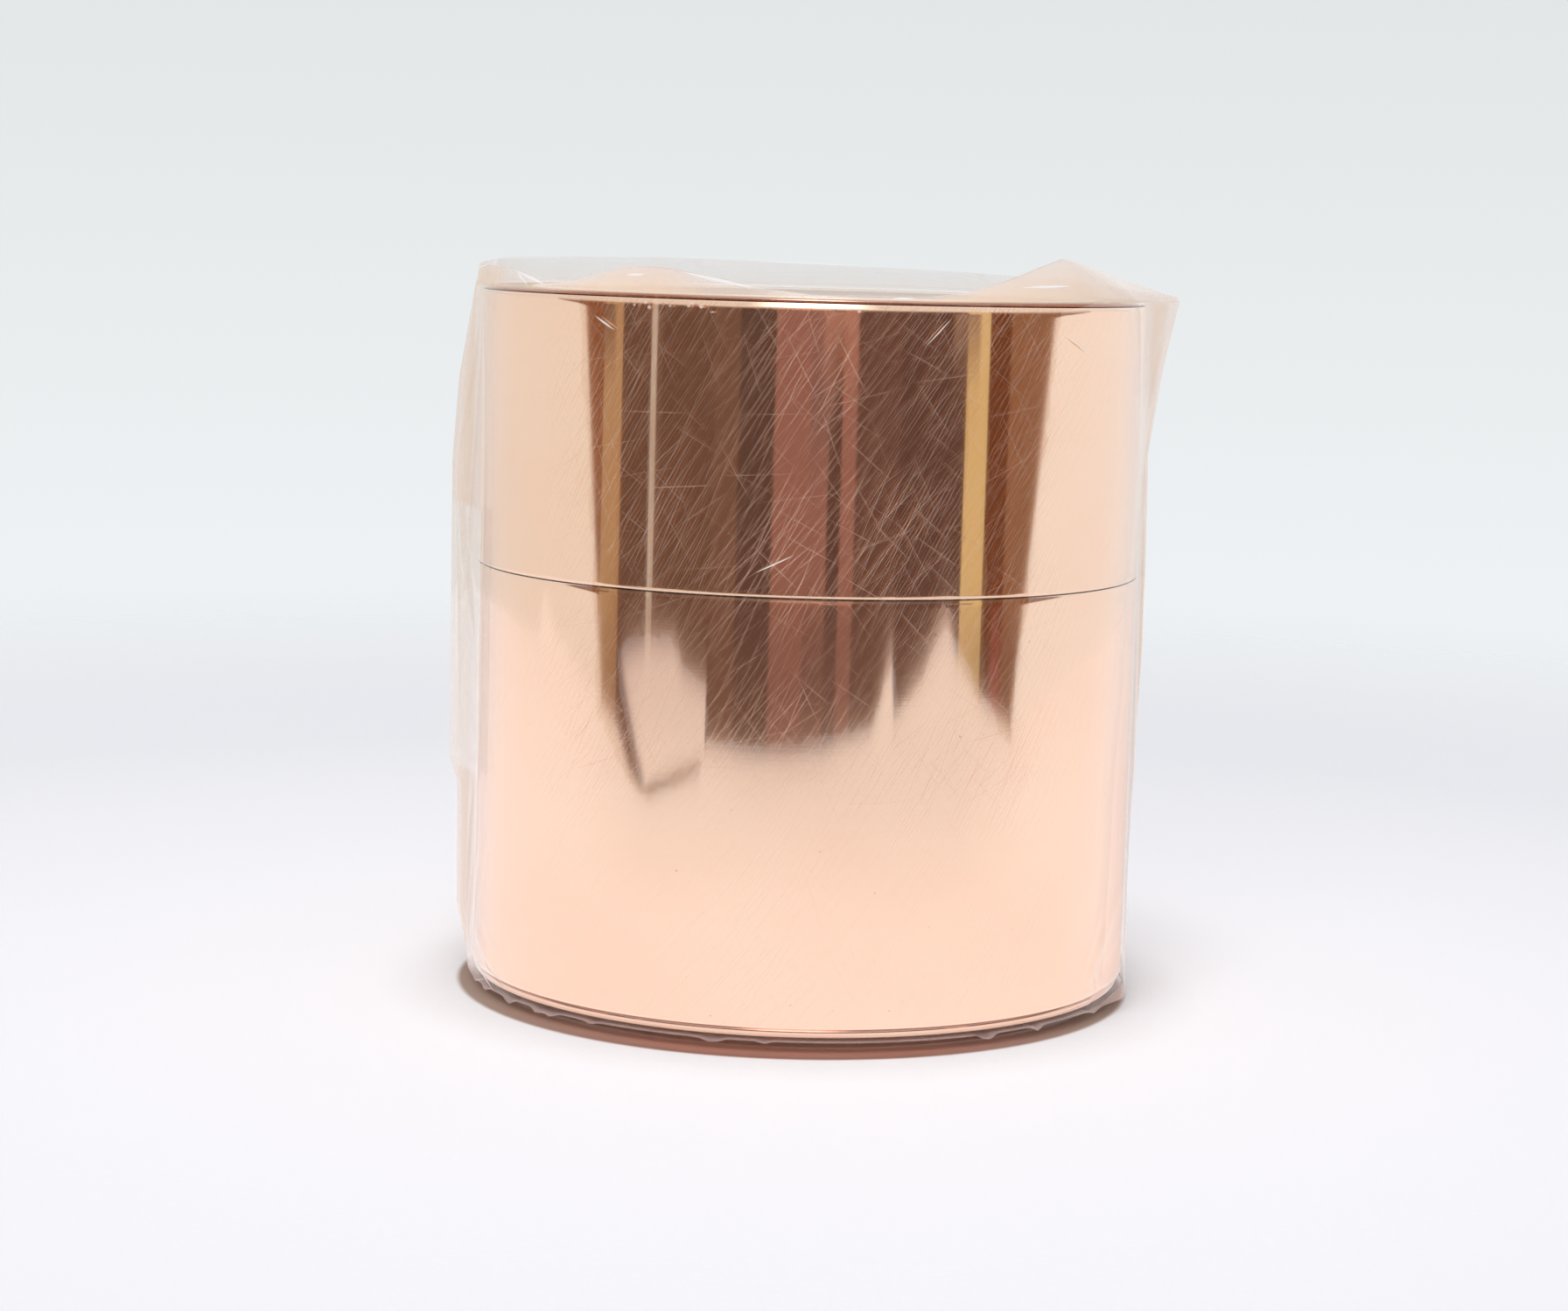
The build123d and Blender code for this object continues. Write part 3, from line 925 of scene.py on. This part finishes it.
# the room as the copper mirrors it: (start azimuth, colour), 0 behind the camera and 90 to its right
STRIPES = (
    (-90, (0.246, 0.109, 0.054)), (-75, (0.44, 0.305, 0.169)), (-67, (0.144, 0.087, 0.063)),
    (-56, (0.54, 0.515, 0.47)), (-53.5, (0.17, 0.11, 0.085)), (-52, (0.144, 0.087, 0.063)),
    (-33, (0.168, 0.104, 0.078)), (-24, (0.107, 0.069, 0.056)), (-12, (0.283, 0.151, 0.128)),
    (6, (0.10, 0.06, 0.05)), (10, (0.283, 0.151, 0.128)), (15, (0.135, 0.08, 0.065)),
    (30, (0.112, 0.067, 0.055)), (53, (0.672, 0.55, 0.278)), (61.5, (0.153, 0.06, 0.028)),
    (70, (0.262, 0.142, 0.083)),
)
# smaller things in the room: (start and end azimuth, lowest and highest elevation, colour)
THINGS = (
    (0, 8, -3.5, -2.2, (0.19, 0.125, 0.12)), (4, 15, -2.1, 2, (0.43, 0.24, 0.19)),
    (-1, 10, -8.4, -6.7, (0.155, 0.10, 0.093)), (66, 70, -8.6, -6.5, (0.34, 0.115, 0.09)),
    (48, 58, -1.9, 2, (0.27, 0.19, 0.135)), (-75, -70, -2.0, 2, (0.20, 0.13, 0.09)),
)
# the white table as the copper mirrors it: (azimuth, distance from the axis to its edge in metres)
TABLE_EDGE = (
    (-180, 0.55), (-135, 0.531), (-103, 0.473), (-102, 0.60), (-94, 0.482), (-86, 0.436), (-76, 0.385),
    (-66, 0.329), (-61, 0.272), (-54, 0.240), (-34, 0.278), (-33, 0.320), (-19, 0.307), (-6, 0.305),
    (7, 0.316), (17, 0.336), (23, 0.348), (26, 0.392), (29, 0.483), (29.9, 0.483), (30.4, 0.370),
    (33, 0.383), (40, 0.441), (47, 0.552), (49, 0.573), (53.5, 0.473), (60, 0.411), (68, 0.368),
    (76, 0.34), (100, 0.42), (140, 0.53), (180, 0.55),
)
# a loose white sheet that lies past the table's edge, from its near side to its far side
SHEET_NEAR = ((-66, 0.47), (-63, 0.40), (-61, 0.355), (-58, 0.30), (-54, 0.257), (-34, 0.295),
              (-33, 0.295))
SHEET_FAR = ((-66, 0.455), (-60, 0.472), (-52, 0.500), (-45, 0.500), (-41, 0.441), (-33, 0.415))
# the pale sweep behind the table: (elevation, colour)
BACKDROP = ((-18, (0.913, 0.928, 0.972)), (-12.4, (0.902, 0.914, 0.948)), (-8, (0.875, 0.905, 0.924)),
            (-4.2, (0.845, 0.872, 0.888)), (0.2, (0.797, 0.829, 0.838)), (4, (0.765, 0.796, 0.804)))


def heading(n, direction_x, direction_y):
    """Azimuth in degrees of a direction, 0 towards -Y and positive towards +X."""
    turn = n.math("ARCTAN2", direction_x, n.times(direction_y, -1.0))
    return n.math("DEGREES", turn)


def room():
    """A pale sweep for the camera, even light for the rest, and for reflections a bright studio
    with a darker patch of room and a lamp behind the camera."""
    world = bpy.data.worlds.new("room")
    bpy.context.scene.world = world
    world.cycles.sampling_method = "NONE"
    world.use_nodes = True
    n = Nodes(world.node_tree)
    x, y, z = n.separate(n.make("ShaderNodeTexCoord").outputs["Generated"])
    azimuth = heading(n, x, y)
    level = n.length(x, y)
    elevation = n.math("DEGREES", n.math("ARCTAN2", z, level))
    rise = n.math("MINIMUM", n.plus(elevation, 2.6), 11.0)
    left_end = n.minus(-81.0, n.times(rise, 1.55))
    right_end = n.plus(87.0, n.times(rise, 2.07))
    stops = [((start + 90) / 180, colour) for start, colour in STRIPES]
    patch = n.ramp(n.remap(azimuth, -90, 90), stops, "CONSTANT")
    for first, last, lowest, highest, colour in THINGS:
        tall = n.times(n.remap(elevation, lowest - 0.2, lowest + 0.2),
                      n.remap(elevation, highest - 0.2, highest + 0.2, 1.0, 0.0))
        wide = n.times(n.remap(azimuth, first - 0.7, first + 0.7),
                      n.remap(azimuth, last - 0.7, last + 0.7, 1.0, 0.0))
        patch = n.mix(n.times(tall, wide), patch, colour)
    low_down = n.remap(elevation, -7.5, -5.8, 0.45, 0.0)
    patch = n.mix(low_down, patch, (0.165, 0.098, 0.078))
    bright = n.mix(n.remap(azimuth, -90, 90), (0.87, 0.87, 0.84), (0.95, 0.97, 0.975))
    dark = n.times(n.between(azimuth, left_end, right_end), n.remap(elevation, 6, 13, 1.0, 0.0))
    mirrored = n.mix(dark, bright, patch)
    lamp = n.times(n.remap(n.math("ABSOLUTE", azimuth), 5.0, 24.0, 1.0, 0.0, "SMOOTHSTEP"),
                  n.between(elevation, 14.0, 60.0))
    mirrored = n.mix(lamp, mirrored, (4.0, 4.0, 4.0))
    sky = [((place + 18) / 22, colour) for place, colour in BACKDROP]
    backdrop = n.ramp(n.remap(elevation, -18, 4), sky)
    paths = n.make("ShaderNodeLightPath").outputs
    colour = n.mix(paths["Is Glossy Ray"], (0.61, 0.615, 0.64), mirrored)
    colour = n.mix(paths["Is Camera Ray"], colour, backdrop)
    background = n.make("ShaderNodeBackground", {"Color": colour, "Strength": 1.0}).outputs[0]
    n.make("ShaderNodeOutputWorld", {"Surface": background})


def profile(n, azimuth, places):
    """A distance that changes with azimuth, along straight runs through (azimuth, distance) places."""
    first = places[0][0]
    span = places[-1][0] - first
    stops = [((place - first) / span, reach) for place, reach in places]
    return n.ramp(n.remap(azimuth, first, first + span), stops)


def table():
    """A pale floor that fades into the backdrop, with a painted brown contact shadow under the rolls.

    In reflections it is a glowing stand-in for the lit table, with its own edge and a loose sheet past
    it.
    """
    material, n = new_material("pale_table")
    x, y, _ = n.separate(n.make("ShaderNodeTexCoord").outputs["Object"])
    distance = n.length(x, y)
    back_x, back_y, _ = n.separate(n.make("ShaderNodeNewGeometry").outputs["Incoming"])
    azimuth = heading(n, n.times(back_x, -1.0), n.times(back_y, -1.0))
    past_edge = n.remap(n.minus(distance, profile(n, azimuth, TABLE_EDGE)), 0.0, 0.006)
    over_near = n.math("GREATER_THAN", distance, profile(n, azimuth, SHEET_NEAR))
    under_far = n.math("LESS_THAN", distance, profile(n, azimuth, SHEET_FAR))
    on_sheet = n.times(n.times(over_near, under_far), n.between(azimuth, -66.0, -33.0))
    past_edge = n.minus(past_edge, on_sheet, clamp=True)
    glossy = n.make("ShaderNodeLightPath").outputs["Is Glossy Ray"]
    faded = n.remap(distance, 0.20, 0.62, kind="SMOOTHERSTEP")
    hidden = n.mix(glossy, n.mix(faded, (0, 0, 0), (1, 1, 1)), n.mix(past_edge, (0, 0, 0), (1, 1, 1)))
    grain = n.noise(n.make("ShaderNodeTexCoord").outputs["Object"], 900.0, 3.0)
    tint = n.mix(n.remap(grain, 0.3, 0.7), (0.922, 0.925, 0.945), (0.938, 0.94, 0.958))
    # painted contact shadow under the rolls: brown from the copper's light, greyer towards the sides
    past_roll = n.minus(n.length(n.plus(x, 0.6 * MM), n.plus(y, 2.0 * MM)), FOIL_OUTER)
    brown = n.mix(n.remap(past_roll, -4.5 * MM, 0.0), (0.72, 0.36, 0.26), (0.33, 0.16, 0.12))
    to_side = n.remap(n.math("ABSOLUTE", heading(n, x, y)), 20.0, 65.0, 0.0, 0.8)
    brown = n.mix(to_side, brown, (0.42, 0.33, 0.27))
    tint = n.mix(n.remap(past_roll, 0.5 * MM, 1.6 * MM, 1.0, 0.0, "SMOOTHSTEP"), tint, brown)
    # painted light: a faint glow on the floor round the rolls, for the copper's light thrown back onto
    # it
    glow = n.times(n.remap(past_roll, 2.0 * MM, 13.5 * MM), n.remap(distance, 0.06, 0.24, 0.12, 0.0))
    paper = n.principled({
        "Base Color": tint, "Roughness": 0.75, "Specular IOR Level": 0.2, "Emission Strength": glow,
        "Emission Color": (0.95, 0.93, 1.0, 1.0)})
    # painted light for the mirrored table: brighter near the rolls, with a painted shadow ahead of the
    # camera
    shadow_ahead = n.remap(n.math("ABSOLUTE", azimuth), 55.0, 85.0, 1.0, 0.0)
    far = n.mix(n.remap(distance, 0.12, 0.50), (1.06, 1.03, 1.05), (1.0, 0.99, 0.99))
    far = n.mix(n.times(shadow_ahead, n.remap(distance, 0.13, 0.28)), far, (0.89, 0.88, 0.88))
    sheet = n.mix(n.remap(distance, 0.28, 0.36), (0.90, 0.87, 0.86), (0.79, 0.75, 0.75))
    far = n.mix(on_sheet, far, sheet)
    lit = n.make("ShaderNodeEmission", {"Color": far}).outputs[0]
    seen = n.blend(glossy, paper, lit)
    clear = n.make("ShaderNodeBsdfTransparent").outputs[0]
    surface(n, n.blend(hidden, seen, clear))
    just_below = (0, 0, -0.02 * MM)
    bpy.ops.mesh.primitive_circle_add(vertices=96, radius=0.85, fill_type="NGON", location=just_below)
    floor = bpy.context.object
    floor.name = "table"
    floor.data.materials.append(material)


def soft_light(name, place, size, power, colour):
    """A round soft light aimed at the rolls, not seen in reflections."""
    light = bpy.data.lights.new(name, "AREA")
    light.shape = "DISK"
    light.size = size
    light.energy = power
    light.color = colour
    lamp = bpy.data.objects.new(name, light)
    bpy.context.scene.collection.objects.link(lamp)
    lamp.location = place
    lamp.rotation_euler = (Vector((0.0, 0.0, 0.05)) - lamp.location).to_track_quat("-Z", "Y").to_euler()
    lamp.visible_glossy = False


def camera():
    """The viewing angle: about half a metre in front, just above the top rim, tilted down a little."""
    data = bpy.data.cameras.new("view")
    data.lens = 77.15
    data.sensor_width = 36.0
    data.clip_start = 0.05
    yaw, pitch, roll = radians(-0.34), radians(7.185), radians(1.56)
    forward = Vector((sin(yaw) * cos(pitch), cos(yaw) * cos(pitch), -sin(pitch)))
    right = Vector((cos(yaw), -sin(yaw), 0))
    up = right.cross(forward)
    tilted_right = right * cos(roll) + up * sin(roll)
    tilted_up = up * cos(roll) - right * sin(roll)
    view = bpy.data.objects.new("view", data)
    bpy.context.scene.collection.objects.link(view)
    turn = Matrix((tilted_right, tilted_up, -forward)).transposed()
    view.matrix_world = Matrix.Translation((0, -0.494, 0.1106)) @ turn.to_4x4()
    bpy.context.scene.camera = view


# ---- assembly

foil = copper_foil()
liner = liner_paper()
board = core_board()
bond = double_sided_tape()
film = see_through("clear_film", 0.04, 0.25, True)
tape = see_through("clear_tape", 0.05, 0.10, False)

for roll in ("lower", "upper"):
    paper_core(roll, board)
    start_tape(roll, bond)
    wound_layer(roll, "liner", liner)
    wound_layer(roll, "foil", foil)
    last_turn(roll, "liner", LINER_INNER, LINER, liner)
    last_turn(roll, "foil", FOIL_INNER, FOIL, foil)
    tail_tape(roll, tape)
film_wrap(film)
sealing_tape(tape)

room()
table()
soft_light("overhead", (-0.10, -0.50, 1.85), 0.6, 9.3, (1.0, 0.99, 1.0))
soft_light("front_left", (-0.20, -1.0, 0.66), 0.80, 1.8, (1.0, 1.0, 1.0))
camera()
scene = bpy.context.scene
scene.view_settings.view_transform = "Standard"
scene.cycles.transparent_max_bounces = 24
scene.cycles.max_bounces = 7
scene.cycles.glossy_bounces = 5
scene.cycles.diffuse_bounces = 3
